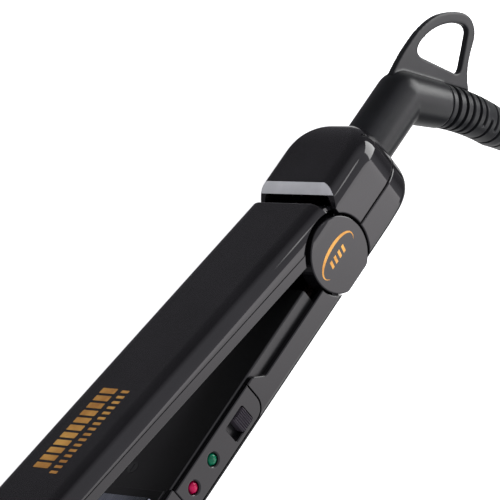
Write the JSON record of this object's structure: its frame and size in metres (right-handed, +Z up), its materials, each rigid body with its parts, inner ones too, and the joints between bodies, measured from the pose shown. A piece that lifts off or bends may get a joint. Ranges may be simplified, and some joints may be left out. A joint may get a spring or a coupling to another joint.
{
  "type": "hair straightener",
  "caption": "Two-arm hair straightener with floating heater plates, side controls, a pivot with round caps, a hanging loop and a swivelling mains lead.",
  "frame": {"origin": "where the hinge axis meets the resting side: the centre of the underside hinge cap's flat face", "axes": "+X along the arms towards the tips; -Y towards the moving arm's outer face; +Z up out of the switch side, along the hinge axis"},
  "size_m": [0.4745, 0.1432, 0.0419],
  "materials": {
    "body_gloss": "polished black moulded plastic",
    "inner_black": "semi-gloss heat resistant black plastic",
    "satin_black": "satin fine-grained black plastic",
    "boot_rubber": "satin black flexible moulding",
    "cord_pvc": "satin black cable sheath",
    "plate_titanium": "titanium-grey coated aluminium, finely brushed",
    "heater_ceramic": "unglazed ceramic",
    "cushion_silicone": "matte silicone rubber",
    "spring_steel": "drawn steel",
    "pin_nickel": "nickel plated brass",
    "contact_brass": "turned brass",
    "board_green": "solder-masked circuit board",
    "lamp_green_lens": "clear tinted lens",
    "lamp_red_lens": "clear tinted lens",
    "wire_red": "silicone wire insulation"
  },
  "bodies": {
    "fixed_arm": {"fixed_arm_shell": "body_gloss", "rear_cover": "body_gloss", "control_panel": "body_gloss", "hinge_cap_top": "body_gloss", "hinge_cap_bottom": "body_gloss", "fixed_inner_panel": "inner_black", "switch_well": "inner_black", "fixed_plate_carrier": "inner_black", "switch_body": "satin_black", "power_module": "satin_black", "swivel_bush": "satin_black", "brush_block": "satin_black", "plug_body": "satin_black", "coil_tie": "satin_black", "cord_lead": "cord_pvc", "cord_coil": "cord_pvc", "cord_tail": "cord_pvc", "fixed_plate_cushion_1": "cushion_silicone", "fixed_plate_cushion_2": "cushion_silicone", "opening_spring": "spring_steel", "hinge_pin": "spring_steel", "thermal_fuse": "spring_steel", "cover_screw_1": "spring_steel", "cover_screw_2": "spring_steel", "fixed_panel_screw_1": "spring_steel", "fixed_panel_screw_2": "spring_steel", "plug_pin_1": "pin_nickel", "plug_pin_2": "pin_nickel", "circuit_board": "board_green", "lamp_green": "lamp_green_lens", "lamp_red": "lamp_red_lens", "feed_wire_1": "wire_red", "feed_wire_2": "wire_red", "heater_wire_1": "wire_red", "heater_wire_2": "wire_red"},
    "moving_arm": {"moving_arm_shell": "body_gloss", "moving_arm_trim": "body_gloss", "moving_inner_panel": "inner_black", "moving_yoke": "satin_black", "moving_plate_carrier": "inner_black", "moving_plate_cushion_1": "cushion_silicone", "moving_plate_cushion_2": "cushion_silicone", "yoke_screw_1": "spring_steel", "yoke_screw_2": "spring_steel", "moving_panel_screw_1": "spring_steel", "moving_panel_screw_2": "spring_steel"},
    "switch": {"switch_slider": "satin_black"},
    "cord_swivel": {"swivel_elbow": "satin_black", "slip_ring": "contact_brass", "cord_boot": "boot_rubber"},
    "fixed_plate": {"fixed_heater_plate": "plate_titanium", "fixed_heater_element": "heater_ceramic"},
    "moving_plate": {"moving_heater_plate": "plate_titanium", "moving_heater_element": "heater_ceramic"}
  },
  "joints": [
    {"name": "moving_arm_hinge", "type": "hinge", "parent": "fixed_arm", "child": "moving_arm", "pos_m": [0, 0, 0.0205], "axis": [0, 0, 1], "range_deg": [0, 8.5], "stiffness_Nm_per_rad": 0.4, "springref_deg": -20.05},
    {"name": "switch_slide", "type": "slide", "parent": "fixed_arm", "child": "switch", "axis": [1, 0, 0], "range_m": [0, 0.0042]},
    {"name": "cord_swivel_turn", "type": "hinge", "parent": "fixed_arm", "child": "cord_swivel", "pos_m": [-0.06, -0.0029, 0.0205], "axis": [1, 0, 0], "continuous": true},
    {"name": "fixed_plate_float", "type": "slide", "parent": "fixed_arm", "child": "fixed_plate", "axis": [0, 1, 0], "range_m": [0, 0.0008], "stiffness_N_per_m": 4000, "springref_m": -0.001},
    {"name": "moving_plate_float", "type": "slide", "parent": "moving_arm", "child": "moving_plate", "axis": [-0.1478, -0.989, 0], "range_m": [0, 0.0008], "stiffness_N_per_m": 4000, "springref_m": -0.001}
  ]
}
